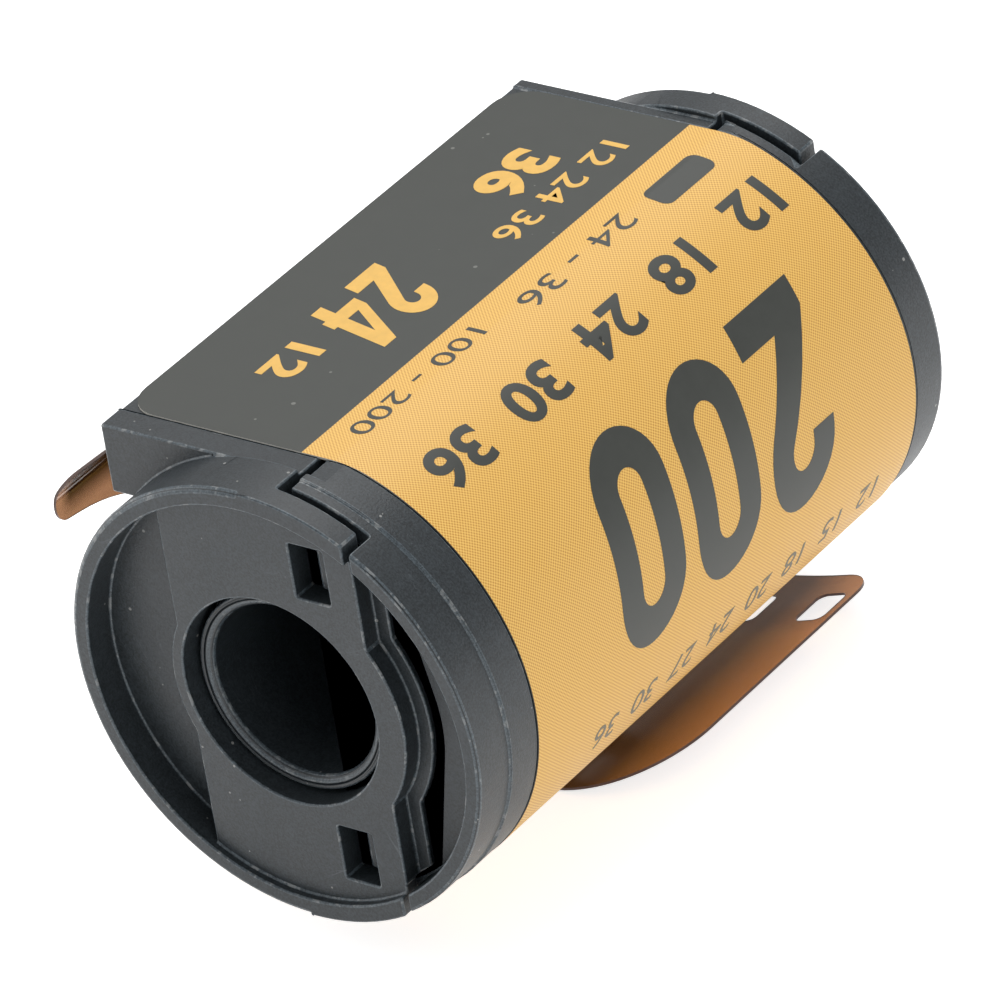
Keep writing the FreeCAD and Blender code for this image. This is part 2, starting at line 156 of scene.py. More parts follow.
class PlushSettings(bpy.types.PropertyGroup):
    """Plush of the light trap."""
    pile: setting("length", "Pile", "Length of the plush fibres", 0.35)
    density: bpy.props.FloatProperty(
        name="Density", description="Fibres on a square millimetre",
        default=14.0, min=0.0, max=60.0)
    seed: bpy.props.IntProperty(
        name="Seed", description="Seed of the fibres' places", default=3, min=0)


class StudioSettings(bpy.types.PropertyGroup):
    """Floor, lamps and camera."""
    key_power: setting("power", "Key", "Power of the large lamp above", 2.3)
    side_power: setting("power", "Side", "Power of the lamp at the left", 0.8)
    fill_power: setting("power", "Fill", "Power of the low lamp at the right", 0.55)
    sky: bpy.props.FloatProperty(
        name="Sky", description="Strength of the even light from all round",
        default=0.6, min=0.0, max=2.0)
    floor_size: bpy.props.FloatProperty(
        name="Floor", description="Side of the square floor",
        default=3.0, subtype="DISTANCE", unit="LENGTH")


SETTINGS = {
    "cartridge_case": CaseSettings,
    "cartridge_label": LabelSettings,
    "cartridge_film": FilmSettings,
    "cartridge_plush": PlushSettings,
    "cartridge_studio": StudioSettings,
}


# Materials

class Shading:
    """Short calls for building one node tree."""

    def __init__(self, tree):
        self.tree = tree

    def node(self, kind, **values):
        """Adds a node and sets its plain properties and its inputs."""
        return self.fill(self.tree.nodes.new(kind), **values)

    def fill(self, made, **values):
        """Sets a node's plain properties, and its inputs by name."""
        for key, value in values.items():
            if hasattr(made, key):
                setattr(made, key, value)
            else:
                self.set(made.inputs[key.replace("_", " ")], value)
        return made

    def set(self, socket, value):
        """Links a socket, or sets its value."""
        if isinstance(value, bpy.types.NodeSocket):
            self.tree.links.new(value, socket)
        elif isinstance(value, (tuple, list)) and len(value) == 3 and socket.type == "RGBA":
            socket.default_value = (*value, 1.0)
        else:
            socket.default_value = value

    def math(self, operation, *values, clamp=False):
        made = self.tree.nodes.new("ShaderNodeMath")
        made.operation = operation
        made.use_clamp = clamp
        for socket, value in zip(made.inputs, values):
            self.set(socket, value)
        return made.outputs[0]

    def product(self, a, b):
        return self.math("MULTIPLY", a, b)

    def mix(self, factor, a, b):
        made = self.tree.nodes.new("ShaderNodeMix")
        made.data_type = "RGBA"
        for name, value in (("Factor_Float", factor), ("A_Color", a), ("B_Color", b)):
            socket = next(s for s in made.inputs if s.identifier == name)
            self.set(socket, value)
        return next(s for s in made.outputs if s.identifier == "Result_Color")

    def ramp(self, factor, low, high):
        """Straight rise from 0 at low to 1 at high, clamped."""
        made = self.node("ShaderNodeMapRange", Value=factor, From_Min=low, From_Max=high)
        return made.outputs["Result"]

    def noise(self, vector, scale, detail=2.0, rough=0.5):
        made = self.node("ShaderNodeTexNoise", Vector=vector, Scale=scale, Detail=detail,
                         Roughness=rough)
        return made.outputs["Fac"]

    def bump(self, height, strength, distance, **values):
        """Normal from a height, with the distance in mm."""
        made = self.node("ShaderNodeBump", Strength=strength, Distance=distance * MM,
                         Height=height, **values)
        return made.outputs["Normal"]

    def place(self):
        return self.node("ShaderNodeTexCoord").outputs["Object"]

    def rings(self, vector, pitch):
        """Rings round the Y axis, as a wave from -1 to 1, with the pitch in mm."""
        split = self.node("ShaderNodeSeparateXYZ", Vector=vector)
        squares = [self.math("POWER", split.outputs[axis], 2.0) for axis in "XZ"]
        radius = self.math("SQRT", self.math("ADD", *squares))
        return self.math("SINE", self.product(radius, 2 * math.pi / (pitch * MM)))


def new_group(name, inputs, outputs, tree_type="ShaderNodeTree"):
    """Empty node group with its sockets, and its input and output nodes."""
    tree = bpy.data.node_groups.new(name, tree_type)
    for label, kind, *default in inputs:
        socket = tree.interface.new_socket(label, in_out="INPUT", socket_type="NodeSocket" + kind)
        if default:
            socket.default_value = default[0]
    for label, kind in outputs:
        tree.interface.new_socket(label, in_out="OUTPUT", socket_type="NodeSocket" + kind)
    shade = Shading(tree)
    return shade, shade.node("NodeGroupInput"), shade.node("NodeGroupOutput")


def place_group(shade, name, **values):
    """Places a shared node group in a material with its own values, and builds it if need be."""
    makers = {"settled_dust": dust_group, "mould_grain": grain_group,
              "hair_scratches": scratch_group}
    tree = bpy.data.node_groups.get(name) or makers[name]()
    return shade.node("ShaderNodeGroup", node_tree=tree, **values)


def emptied(owner):
    """Calls for the node tree of a material or a world, with nothing in it yet."""
    owner.use_nodes = True
    owner.node_tree.nodes.clear()
    return Shading(owner.node_tree)


def new_material(name):
    """Material with an empty tree, a Principled BSDF and its output."""
    material = bpy.data.materials.new(name)
    shade = emptied(material)
    surface = shade.node("ShaderNodeBsdfPrincipled")
    shade.node("ShaderNodeOutputMaterial", Surface=surface.outputs["BSDF"])
    return material, shade, surface


def dust_group():
    """Pale specks of dust, as a mask."""
    shade, given, result = new_group(
        "settled_dust",
        [("Vector", "Vector"), ("Amount", "Float", 0.5), ("Density", "Float", 1600.0)],
        [("Mask", "Float")])
    vector = given.outputs["Vector"]
    cells = shade.node("ShaderNodeTexVoronoi", Vector=vector, Scale=given.outputs["Density"],
                       Randomness=1.0)
    split = shade.node("ShaderNodeSeparateColor", Color=cells.outputs["Color"])
    reach = shade.product(shade.ramp(split.outputs["Red"], 0.86, 1.0), 0.34)
    reach = shade.product(reach, given.outputs["Amount"])
    inner = shade.math("SUBTRACT", reach, cells.outputs["Distance"])
    speck = shade.ramp(inner, 0.0, 0.03)
    shade.fill(result, Mask=speck)
    return shade.tree


def grain_group():
    """Fine mould grain with a soft unevenness, as a height."""
    shade, given, result = new_group(
        "mould_grain",
        [("Vector", "Vector"), ("Size", "Float", 0.12 * MM)],
        [("Height", "Float"), ("Uneven", "Float")])
    vector = given.outputs["Vector"]
    scale = shade.math("DIVIDE", 1.0, given.outputs["Size"])
    fine = shade.noise(vector, scale, 2.0, 0.6)
    broad = shade.noise(vector, 260.0, 2.0, 0.5)
    shade.fill(result, Height=fine, Uneven=broad)
    return shade.tree


def scratch_group():
    """Hairline scratches in two directions, as a mask."""
    shade, given, result = new_group(
        "hair_scratches",
        [("Vector", "Vector"), ("Scale", "Float", 90.0)],
        [("Mask", "Float")])
    masks = []
    for angle, stretch in ((0.5, 26.0), (-1.1, 34.0)):
        turned = shade.node("ShaderNodeVectorRotate", rotation_type="Y_AXIS",
                            Vector=given.outputs["Vector"], Angle=angle)
        drawn_out = shade.node("ShaderNodeVectorMath", operation="MULTIPLY")
        shade.set(drawn_out.inputs[0], turned.outputs["Vector"])
        shade.set(drawn_out.inputs[1], (1.0, stretch, stretch))
        field = shade.noise(drawn_out.outputs["Vector"], given.outputs["Scale"], 1.0, 0.4)
        line = shade.math("ABSOLUTE", shade.math("SUBTRACT", field, 0.5))
        line = shade.math("SUBTRACT", 1.0, shade.ramp(line, 0.0, 0.006))
        sparse = shade.noise(turned.outputs["Vector"], 170.0, 1.0, 0.5)
        masks.append(shade.product(line, shade.ramp(sparse, 0.6, 0.68)))
    shade.fill(result, Mask=shade.math("MAXIMUM", *masks))
    return shade.tree


def times(colour, factor, plus=0.0):
    """Colour made lighter or darker."""
    return [min(1.0, part * factor + plus) for part in colour]


def moulded_plastic(name, settings, lighter=1.0, smoother=0.0, worn=0.0, turned=False):
    """Black moulded plastic with grain, scratches, dust, pale burrs on edges, and turned rings. A
    large lighter paints the rounded edges pale: partly wear, partly painted highlight.
    """
    material, shade, surface = new_material(name)
    place = shade.place()
    grain = place_group(shade, "mould_grain", Vector=place, Size=settings.grain)
    scratches = place_group(shade, "hair_scratches", Vector=place)
    dust = place_group(shade, "settled_dust", Vector=place, Amount=settings.dust)
    base = times(settings.plastic, lighter)
    pale = times(base, 2.5, 0.02)
    colour = shade.mix(grain.outputs["Uneven"], times(base, 0.75), times(base, 1.3))
    speckle = shade.ramp(grain.outputs["Height"], 0.36, 0.64)
    colour = shade.mix(speckle, shade.mix(0.35, colour, (0.0, 0.0, 0.0)),
                       shade.mix(0.5, colour, times(base, 2.2)))
    rubbed = shade.ramp(shade.noise(place, 1500.0, 4.0, 0.7), 0.52, 0.72)
    colour = shade.mix(shade.product(rubbed, 0.35), colour, times(base, 2.4))
    colour = shade.mix(scratches.outputs["Mask"], colour, pale)
    if worn:
        burrs = shade.ramp(shade.noise(place, 1300.0, 3.0, 0.65), 0.56, 0.62)
        colour = shade.mix(shade.product(burrs, worn), colour, (0.3, 0.31, 0.31))
    dusty = shade.product(dust.outputs["Mask"], 0.55)
    colour = shade.mix(dusty, colour, (0.5, 0.5, 0.48))
    shade.fill(surface, Base_Color=colour)
    rough = settings.roughness - smoother
    swing = shade.product(shade.math("SUBTRACT", grain.outputs["Uneven"], 0.5), 0.16)
    shade.fill(surface, Roughness=shade.math("ADD", swing, rough, clamp=True),
               Specular_IOR_Level=0.5)
    normal = shade.bump(grain.outputs["Height"], 0.55, 0.03)
    if turned:
        normal = shade.bump(shade.rings(place, 0.26), 0.8, 0.05, Normal=normal)
    shade.fill(surface, Normal=normal)
    return material


def label_print(settings):
    """Printed face of the label: dark field, orange field with a line screen, satin varnish."""
    material, shade, surface = new_material("label_print")
    uv = shade.node("ShaderNodeUVMap", uv_map="label_plan")
    split = shade.node("ShaderNodeSeparateXYZ", Vector=uv.outputs["UV"])
    along, across = split.outputs["X"], split.outputs["Y"]
    turn = math.pi * math.sqrt(2.0) / settings.screen
    waves = [shade.math("SINE", shade.product(shade.math(side, across, along), turn))
             for side in ("ADD", "SUBTRACT")]
    dots = shade.ramp(shade.math("ADD", *waves), -1.5, 0.9)
    deep = [settings.orange[0] * 0.72, settings.orange[1] * 0.5, settings.orange[2] * 0.3]
    light = [settings.orange[0] * 1.1, settings.orange[1] * 1.2, settings.orange[2] * 1.4]
    orange = shade.mix(dots, deep, light)
    mottle = shade.noise(shade.place(), 900.0, 3.0, 0.6)
    orange = shade.mix(shade.product(mottle, 0.12), orange, (0.95, 0.68, 0.25))
    dark = shade.mix(mottle, times(settings.dark, 0.9), times(settings.dark, 1.15))
    dust = place_group(shade, "settled_dust", Vector=shade.place(), Amount=0.5, Density=1100.0)
    dark = shade.mix(shade.product(dust.outputs["Mask"], 0.3), dark, (0.5, 0.5, 0.46))
    edge = shade.math("ADD", along, shade.product(mottle, 0.02 * MM))
    field = shade.ramp(edge, settings.boundary, settings.boundary + 0.03 * MM)
    shade.fill(surface, Base_Color=shade.mix(field, dark, orange))
    rough = shade.math("ADD", 0.4, shade.product(mottle, 0.12))
    shade.fill(surface, Roughness=rough, Specular_IOR_Level=0.45)
    fibres = shade.noise(shade.place(), 2600.0, 3.0, 0.6)
    shade.fill(surface, Normal=shade.bump(fibres, 0.2, 0.01))
    return material


def paper_edge(settings):
    """Raw cut edge of the label's paper, with a painted shadow low down on the barrel, in the gap
    by the rim.
    """
    material, shade, surface = new_material("label_paper_edge")
    fibres = shade.noise(shade.place(), 4000.0, 3.0, 0.6)
    darker = times(settings.paper, 0.72)
    split = shade.node("ShaderNodeSeparateXYZ", Vector=shade.place())
    # Painted shadow: below the flat, the paper edge is painted dark.
    out_of_painted_shade = shade.ramp(split.outputs["Z"], FLAT_Z - 2.0 * MM, FLAT_Z - 0.3 * MM)
    colour = shade.mix(fibres, darker, list(settings.paper))
    colour = shade.mix(out_of_painted_shade, times(settings.paper, 0.2), colour)
    shade.fill(surface, Base_Color=colour, Roughness=0.85)
    return material


def printed_ink(name, colour):
    """Solid ink of the numerals and bars."""
    material, shade, surface = new_material(name)
    mottle = shade.noise(shade.place(), 1400.0, 3.0, 0.6)
    rough = shade.math("ADD", 0.38, shade.product(mottle, 0.14))
    colour = shade.mix(mottle, times(colour, 0.85), times(colour, 1.12))
    shade.fill(surface, Base_Color=colour, Roughness=rough, Specular_IOR_Level=0.45)
    return material


def film_clear(settings):
    """Leader: glossy film that light passes through, with painted shade, painted light and a
    painted reflection in its colour.
    """
    material, shade, surface = new_material("film_clear")
    place = shade.place()
    cloud = shade.noise(place, 160.0, 2.0, 0.5)
    split = shade.node("ShaderNodeSeparateXYZ", Vector=place)
    # Painted shade and light: the film is painted dark near the case and lighter towards the tip,
    # with a random cloud of tone on top.
    tip = shade.ramp(split.outputs["X"], 4.5 * MM, LEADER_HIGH.x)
    tip_light_and_cloud = shade.math("ADD", shade.product(cloud, 0.12), tip)
    colour = shade.mix(tip_light_and_cloud, times(settings.base, 0.14), times(settings.base, 1.15))
    # Painted reflection: higher up, the film is painted a lighter grey-brown.
    neck = shade.ramp(split.outputs["Z"], -6.0 * MM, 5.0 * MM)
    colour = shade.mix(neck, colour, times(settings.base, 0.55, 0.05))
    # Painted shade and dark reflection of the plush: near the slot, above the bend, the film is
    # painted almost black.
    mouth = shade.ramp(split.outputs["Y"], LEADER_LOW.y + 0.4 * MM, LEADER_LOW.y + 1.2 * MM)
    mouth = shade.product(mouth, shade.ramp(split.outputs["Z"], 4.4 * MM, 5.6 * MM))
    colour = shade.mix(mouth, colour, times(settings.base, 0.05))
    shade.fill(surface, Base_Color=colour, Specular_IOR_Level=0.25)
    scratches = place_group(shade, "hair_scratches", Vector=place, Scale=140.0)
    rough = shade.math("ADD", 0.1, shade.product(scratches.outputs["Mask"], 0.25))
    shade.fill(surface, Roughness=rough, Transmission_Weight=0.94, IOR=1.4)
    return material


def film_edge(settings):
    """Cut edge of the film."""
    material, shade, surface = new_material("film_edge")
    grain = shade.noise(shade.place(), 1800.0, 2.0, 0.5)
    colour = shade.mix(grain, times(settings.wound, 0.4), list(settings.wound))
    shade.fill(surface, Base_Color=colour, Roughness=0.35)
    return material


def film_wound(settings):
    """Wound film: dark, with its turns as fine rings."""
    material, shade, surface = new_material("film_wound")
    turns = shade.ramp(shade.rings(shade.place(), 0.15), -0.6, 0.6)
    colour = shade.mix(turns, times(settings.wound, 0.5), times(settings.wound, 1.3))
    shade.fill(surface, Base_Color=colour, Roughness=0.3)
    return material


def plush_black():
    """Short black plush of the light trap."""
    material, shade, surface = new_material("plush_black")
    nap = shade.noise(shade.place(), 3500.0, 3.0, 0.7)
    colour = shade.mix(nap, (0.004, 0.004, 0.004), (0.03, 0.03, 0.03))
    shade.fill(surface, Base_Color=colour, Roughness=0.95, Sheen_Weight=0.3)
    return material


# Meshes

def arc(centre, radius, start, stop, steps=20):
    """Points of an arc, with its angles in degrees."""
    turn = [math.radians(start + (stop - start) * index / steps) for index in range(steps + 1)]
    return [(centre[0] + radius * math.cos(a), centre[1] + radius * math.sin(a)) for a in turn]


def placed(name, data):
    """Object linked to the scene."""
    thing = bpy.data.objects.new(name, data)
    bpy.context.scene.collection.objects.link(thing)
    return thing


def made_plain(holder, name):
    """Mesh of an object with its modifiers worked in. The object goes."""
    depsgraph = bpy.context.evaluated_depsgraph_get()
    mesh = bpy.data.meshes.new_from_object(holder.evaluated_get(depsgraph))
    mesh.name = name
    bpy.data.objects.remove(holder)
    return mesh


def to_mesh(work, name):
    """Mesh of a finished bmesh, which is freed."""
    mesh = bpy.data.meshes.new(name)
    work.to_mesh(mesh)
    work.free()
    return mesh


def from_mesh(source):
    work = bmesh.new()
    work.from_mesh(source)
    return work


def cleaned(work, angle):
    """Merges double vertices, and makes flat regions one face."""
    bmesh.ops.remove_doubles(work, verts=work.verts, dist=MERGE_DISTANCE)
    bmesh.ops.dissolve_limit(work, angle_limit=angle, verts=work.verts, edges=work.edges)
    return work


def cut_across(work, along):
    """Cuts a flat drawing in two lines at a distance along it."""
    everything = work.verts[:] + work.edges[:] + work.faces[:]
    bmesh.ops.bisect_plane(work, geom=everything, dist=1e-8, plane_co=(along, 0, 0),
                           plane_no=(1, 0, 0))


def dress(node, material):
    """Gives a node that keeps its CAD shape its material."""
    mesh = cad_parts[node].data
    mesh.materials.clear()
    mesh.materials.append(material)


def quad(name, corners):
    """Mesh of one four-cornered face."""
    mesh = bpy.data.meshes.new(name)
    mesh.from_pydata(corners, [], [(0, 1, 2, 3)])
    return mesh


def new_piece(name, mesh, body, materials):
    """Puts a finished mesh in the scene, on its body."""
    piece = placed(name, mesh)
    while len(mesh.materials) > len(materials):
        mesh.materials.pop()
    for index, material in enumerate(materials):
        if index < len(mesh.materials):
            mesh.materials[index] = material
        else:
            mesh.materials.append(material)
    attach(piece, body)
    return piece


def applied(mesh, name, kind, **values):
    """Mesh with a modifier worked in, which may use a second material."""
    while len(mesh.materials) < 2:
        mesh.materials.append(None)
    holder = placed(name + "_raw", mesh)
    modifier = holder.modifiers.new(kind.lower(), kind)
    for key, value in values.items():
        setattr(modifier, key, value)
    return made_plain(holder, name)


def wall_normal(mesh, polygon):
    """Function that gives a face's exact normal at a point: radial on a round wall, else flat."""
    flat = polygon.normal.copy()
    corners = [mesh.vertices[index].co for index in polygon.vertices]
    radii = [math.hypot(corner.x, corner.z) for corner in corners]
    if abs(flat.y) > 0.02 or max(radii) - min(radii) > ROUND_TOLERANCE or min(radii) < MM:
        return lambda point: flat
    middle = polygon.center
    outward = flat.x * middle.x + flat.z * middle.z
    if abs(outward) < 0.95 * math.hypot(middle.x, middle.z):
        return lambda point: flat
    side = math.copysign(1.0, outward)
    return lambda point: Vector((point.x, 0.0, point.z)).normalized() * side


def true_normals(mesh, rounded=None):
    """Gives every face its exact normals, and blends them over the faces of the rounded edges."""
    for polygon in mesh.polygons:
        polygon.use_smooth = True
    normals = [None] * len(mesh.loops)
    around = {}
    for polygon in mesh.polygons:
        if polygon.material_index == rounded:
            continue
        normal_at = wall_normal(mesh, polygon)
        for index in polygon.loop_indices:
            vertex = mesh.loops[index].vertex_index
            normals[index] = normal_at(mesh.vertices[vertex].co)
            around.setdefault(vertex, []).append(normals[index])
    smooth = [vertex.normal.copy() for vertex in mesh.vertices]
    for polygon in mesh.polygons:
        if polygon.material_index != rounded:
            continue
        for index in polygon.loop_indices:
            vertex = mesh.loops[index].vertex_index
            near = [normal for normal in around.get(vertex, []) if normal.dot(polygon.normal) > 0.5]
            normals[index] = max(near, key=polygon.normal.dot) if near else smooth[vertex]
    mesh.normals_split_custom_set(normals)


def rounded_copy(node, name, width):
    """Copy of a CAD solid with its edges slightly rounded."""
    work = cleaned(from_mesh(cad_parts[node].data), CAD_ANGLE)
    skin = BVHTree.FromBMesh(work)
    mesh = to_mesh(work, name + "_plain")
    mesh = applied(mesh, name, "BEVEL", width=width, segments=2, limit_method="ANGLE",
                   angle_limit=math.radians(32.0), use_clamp_overlap=False,
                   miter_outer="MITER_ARC", material=ROUNDED_EDGE)
    for vertex in mesh.vertices:
        point, _, _, distance = skin.find_nearest(vertex.co)
        if distance > STRAY * width:
            vertex.co = point
    true_normals(mesh, ROUNDED_EDGE)
    return mesh


def sharp_place(along, across, lift):
    """Point above the flat or the barrel, with no bend between the two."""
    if along <= FLAT_LENGTH:
        return Vector((FLAT_LEFT_X + along, across, FLAT_Z + lift))
    angle = BARREL_START - (along - FLAT_LENGTH) / LABEL_RADIUS
    radius = LABEL_RADIUS + lift
    return Vector((radius * math.cos(angle), across, radius * math.sin(angle)))


def label_place(along, across, lift):
    """Point above the label's face; along runs from the flat's left edge, across is Y."""
    share = (along - FLAT_LENGTH + BEND_REACH) / (2 * BEND_REACH)
    if not 0.0 < share < 1.0:
        return sharp_place(along, across, lift)
    start, middle, end = (sharp_place(FLAT_LENGTH + side * BEND_REACH, across, lift)
                          for side in (-1, 0, 1))
    return start * (1 - share) ** 2 + middle * (2 * share * (1 - share)) + end * share ** 2


def wrapped(work, step):
    """Bends a flat drawing, with X along the label and Y across it, onto the label's face."""
    low = min(v.co.x for v in work.verts)
    high = max(v.co.x for v in work.verts)
    bend = [FLAT_LENGTH + BEND_REACH * (index / 8 - 1) for index in range(17)]
    count = int((high - bend[-1]) / step)
    cuts = [cut for cut in bend + [bend[-1] + step * (index + 1) for index in range(count)]
            if low < cut < high]
    for cut in cuts:
        cut_across(work, cut)
    layer = work.loops.layers.uv.new("label_plan")
    for face in work.faces:
        for loop in face.loops:
            loop[layer].uv = (loop.vert.co.x, loop.vert.co.y)
    for vertex in work.verts:
        vertex.co = label_place(vertex.co.x, vertex.co.y, vertex.co.z)


def facing_out(work):
    """Turns the faces of a flat drawing up, so that they point outwards once wrapped."""
    for face in work.faces:
        face.normal_update()
        if face.normal.z < 0:
            face.normal_flip()


def label_outline(settings):
    """Flat outline of the label, with rounded corners at its left edge."""
    near, far, radius = LABEL_LOW.y, LABEL_HIGH.y, settings.corner
    near_corner = arc((radius, near + radius), radius, 180.0, 270.0, 8)
    far_corner = arc((radius, far - radius), radius, 90.0, 180.0, 8)
    return near_corner + [(LABEL_LENGTH, near), (LABEL_LENGTH, far)] + far_corner


# Operators

class CARTRIDGE_OT_case(bpy.types.Operator):
    """Rounds the moulded edges of the case and gives it its plastic"""
    bl_idname = "cartridge.case"
    bl_label = "Finish Case"

    def execute(self, context):
        settings = context.scene.cartridge_case
        faces = moulded_plastic("case_plastic", settings)
        # The rounded edges are painted three times lighter: partly wear, partly painted highlight.
        edges = moulded_plastic("case_plastic_edge", settings, lighter=3.0, smoother=0.12, worn=0.6)
        for node in ("case_main", "case_cover"):
            mesh = rounded_copy(node, node + "_moulded", settings.edge)
            piece = new_piece(node + "_moulded", mesh, "case", [faces, edges])
            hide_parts(node)
        return {"FINISHED"}


class CARTRIDGE_OT_spool(bpy.types.Operator):
    """Rounds the spool's edges and gives it its plastic"""
    bl_idname = "cartridge.spool"
    bl_label = "Finish Spool"

    def execute(self, context):
        settings = context.scene.cartridge_case
        faces = moulded_plastic("spool_plastic", settings, lighter=0.9, smoother=0.1, turned=True)
        # The rounded edges are painted 2.6 times lighter: partly wear, partly painted highlight.
        edges = moulded_plastic("spool_plastic_edge", settings, lighter=2.6, smoother=0.14,
                                worn=0.35)
        mesh = rounded_copy("spool", "spool_moulded", settings.edge)
        piece = new_piece("spool_moulded", mesh, "spool", [faces, edges])
        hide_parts("spool")
        return {"FINISHED"}


class CARTRIDGE_OT_label(bpy.types.Operator):
    """Wraps the paper label round the case"""
    bl_idname = "cartridge.label"
    bl_label = "Wrap Label"

    def execute(self, context):
        settings = context.scene.cartridge_label
        work = bmesh.new()
        corners = [work.verts.new((x, y, 0.0)) for x, y in label_outline(settings)]
        work.faces.new(corners)
        facing_out(work)
        wrapped(work, settings.slice)
        mesh = applied(to_mesh(work, "label_flat"), "label_sheet", "SOLIDIFY",
                       thickness=LABEL_THICKNESS, offset=-1.0, material_offset_rim=1)
        true_normals(mesh)
        materials = [label_print(settings), paper_edge(settings)]
        piece = new_piece("label_sheet", mesh, "case", materials)
        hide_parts("label")
        return {"FINISHED"}


# Heavy numerals, drawn in a box one unit high
NUMERAL_WIDTH = 0.56
NUMERAL_STROKE = 0.185
NUMERAL_GAP = 0.12


def heavy_zero():
    """Outer and inner outline of a narrow zero."""
    loops = []
    for inset in (0.0, NUMERAL_STROKE):
        radius = NUMERAL_WIDTH / 2 - inset
        middle = NUMERAL_WIDTH / 2
        loops.append(arc((middle, 1 - middle), radius, 0.0, 180.0)
                     + arc((middle, middle), radius, 180.0, 360.0))
    return loops


def heavy_two():
    """Outline of a two: a hook over a straight foot."""
    width, stroke = NUMERAL_WIDTH, NUMERAL_STROKE
    centre = (width / 2, 1 - width / 2)
    end = centre[1] - 0.05
    outer = arc(centre, width / 2, 180.0, -32.0)
    inner = arc(centre, width / 2 - stroke, -32.0, 180.0)
    foot = [(stroke * 1.45, stroke), (width, stroke), (width, 0.0), (0.0, 0.0), (0.0, stroke * 0.8)]
    return [[(0.0, end)] + outer + foot + inner + [(stroke, end)]]


def heavy_four():
    """Outline of a four and of its three-cornered hole."""
    width, stroke = NUMERAL_WIDTH, NUMERAL_STROKE
    right = width - 0.06
    left = right - stroke
    bar_low, bar_high = 0.2, 0.2 + stroke * 0.9
    outer = [(right, 0.0), (right, bar_low), (width, bar_low), (width, bar_high),
             (right, bar_high), (right, 1.0), (left - 0.03, 1.0), (-0.03, bar_high),
             (-0.03, bar_low), (left, bar_low), (left, 0.0)]
    hole = [(left, bar_high), (left, 0.74), (0.12, bar_high)]
    return [outer, hole]


HEAVY_NUMERALS = {"0": heavy_zero, "2": heavy_two, "4": heavy_four}


def flat_outlines(loops):
    """Curve filled between closed outlines."""
    curve = bpy.data.curves.new("outline", "CURVE")
    curve.dimensions = "2D"
    curve.fill_mode = "BOTH"
    for loop in loops:
        spline = curve.splines.new("POLY")
        spline.points.add(len(loop) - 1)
        for point, (x, y) in zip(spline.points, loop):
            point.co = (x, y, 0.0, 1.0)
        spline.use_cyclic_u = True
    return curve


def heavy_text(text):
    """Curve of heavy numerals in a row."""
    loops = []
    for place, letter in enumerate(text):
        start = place * (NUMERAL_WIDTH + NUMERAL_GAP)
        loops += [[(x + start, y) for x, y in loop] for loop in HEAVY_NUMERALS[letter]()]
    return flat_outlines(loops)


def light_text(text, weight):
    """Curve of plain numerals in Blender's own lettering."""
    curve = bpy.data.curves.new("numerals", "FONT")
    curve.body = text
    curve.offset = weight
    curve.resolution_u = 6
    curve.fill_mode = "FRONT"
    return curve


def bar_shape(length, height):
    """Curve of one bar with rounded ends, in true size."""
    radius = height * 0.3
    corners = []
    for x, y, start in ((length - radius, height - radius, 0.0), (radius, height - radius, 90.0),
                        (radius, radius, 180.0), (length - radius, radius, 270.0)):
        corners += arc((x, y), radius, start, start + 90.0, 4)
    return flat_outlines([corners])


def printed(settings, curve, name, along, across, height, length, slant):
    """Shape laid on the label, with a thickness. It reads towards -Y, with its top to +X."""
    mesh = made_plain(placed(name, curve), name + "_drawn")
    work = from_mesh(mesh)
    bpy.data.meshes.remove(mesh)
    low = Vector((min(v.co.x for v in work.verts), min(v.co.y for v in work.verts)))
    high = Vector((max(v.co.x for v in work.verts), max(v.co.y for v in work.verts)))
    for vertex in work.verts:
        up = (vertex.co.y - low.y) / (high.y - low.y) * height
        right = (vertex.co.x - low.x) / (high.x - low.x) * (length - slant * height) + slant * up
        vertex.co = Vector(((along + up) * MM, (across - right) * MM, settings.ink))
    facing_out(cleaned(work, FLAT_ANGLE))
    wrapped(work, settings.slice)
    mesh = applied(to_mesh(work, name + "_flat"), name, "SOLIDIFY",
                   thickness=settings.ink * 1.2, offset=-1.0)
    true_normals(mesh)
    return mesh


# Heavy and light numerals: name, text, along, across, height, length in mm, slant or weight, ink
HEAVY_PRINT = [
    ("numerals_speed", "200", 21.4, 32.1, 11.1, 21.4, 0.2, "dark"),
    ("numerals_frames", "24", 3.8, 19.9, 5.4, 6.9, 0.2, "orange"),
]
LIGHT_PRINT = [
    ("numerals_line", "12  18  24  30  36", 16.4, 35.7, 2.6, 29.8, 0.03, "dark"),
    ("numerals_format", "24 - 36", 12.8, 28.8, 1.4, 9.4, 0.0, "dark"),
    ("numerals_range", "100 - 200", 12.1, 16.5, 1.2, 10.6, 0.0, "dark"),
    ("numerals_count", "36", 3.9, 32.4, 3.1, 4.6, 0.04, "orange"),
    ("numerals_row", "12 24 36", 7.8, 34.7, 1.7, 10.4, 0.01, "orange"),
    ("numerals_small", "12", 4.4, 11.9, 2.2, 3.2, 0.03, "orange"),
    ("numerals_scale", "12  15  18  20  24  27  30  36", 35.4, 34.8, 1.7, 25.8, 0.0, "grey"),
]
# Plain bars: name, along, across, height, length in mm, ink
BARS = [
    ("printed_bar_1", 12.9, 35.2, 1.8, 4.6, "dark"),
]


class CARTRIDGE_OT_print(bpy.types.Operator):
    """Prints the numerals on the label"""
    bl_idname = "cartridge.print"
    bl_label = "Print Label"

    def execute(self, context):
        settings = context.scene.cartridge_label
        inks = {name: printed_ink("ink_" + name, list(getattr(settings, name)))
                for name in ("dark", "orange", "grey")}
        drawings = [(name, heavy_text(text), *place, slant, ink)
                    for name, text, *place, slant, ink in HEAVY_PRINT]
        drawings += [(name, light_text(text, weight), *place, 0.0, ink)
                     for name, text, *place, weight, ink in LIGHT_PRINT]
        drawings += [(name, bar_shape(place[3], place[2]), *place, 0.0, ink)
                     for name, *place, ink in BARS]
        for name, curve, *place, ink in drawings:
            mesh = printed(settings, curve, name, *place)
            new_piece(name, mesh, "case", [inks[ink]])
        return {"FINISHED"}


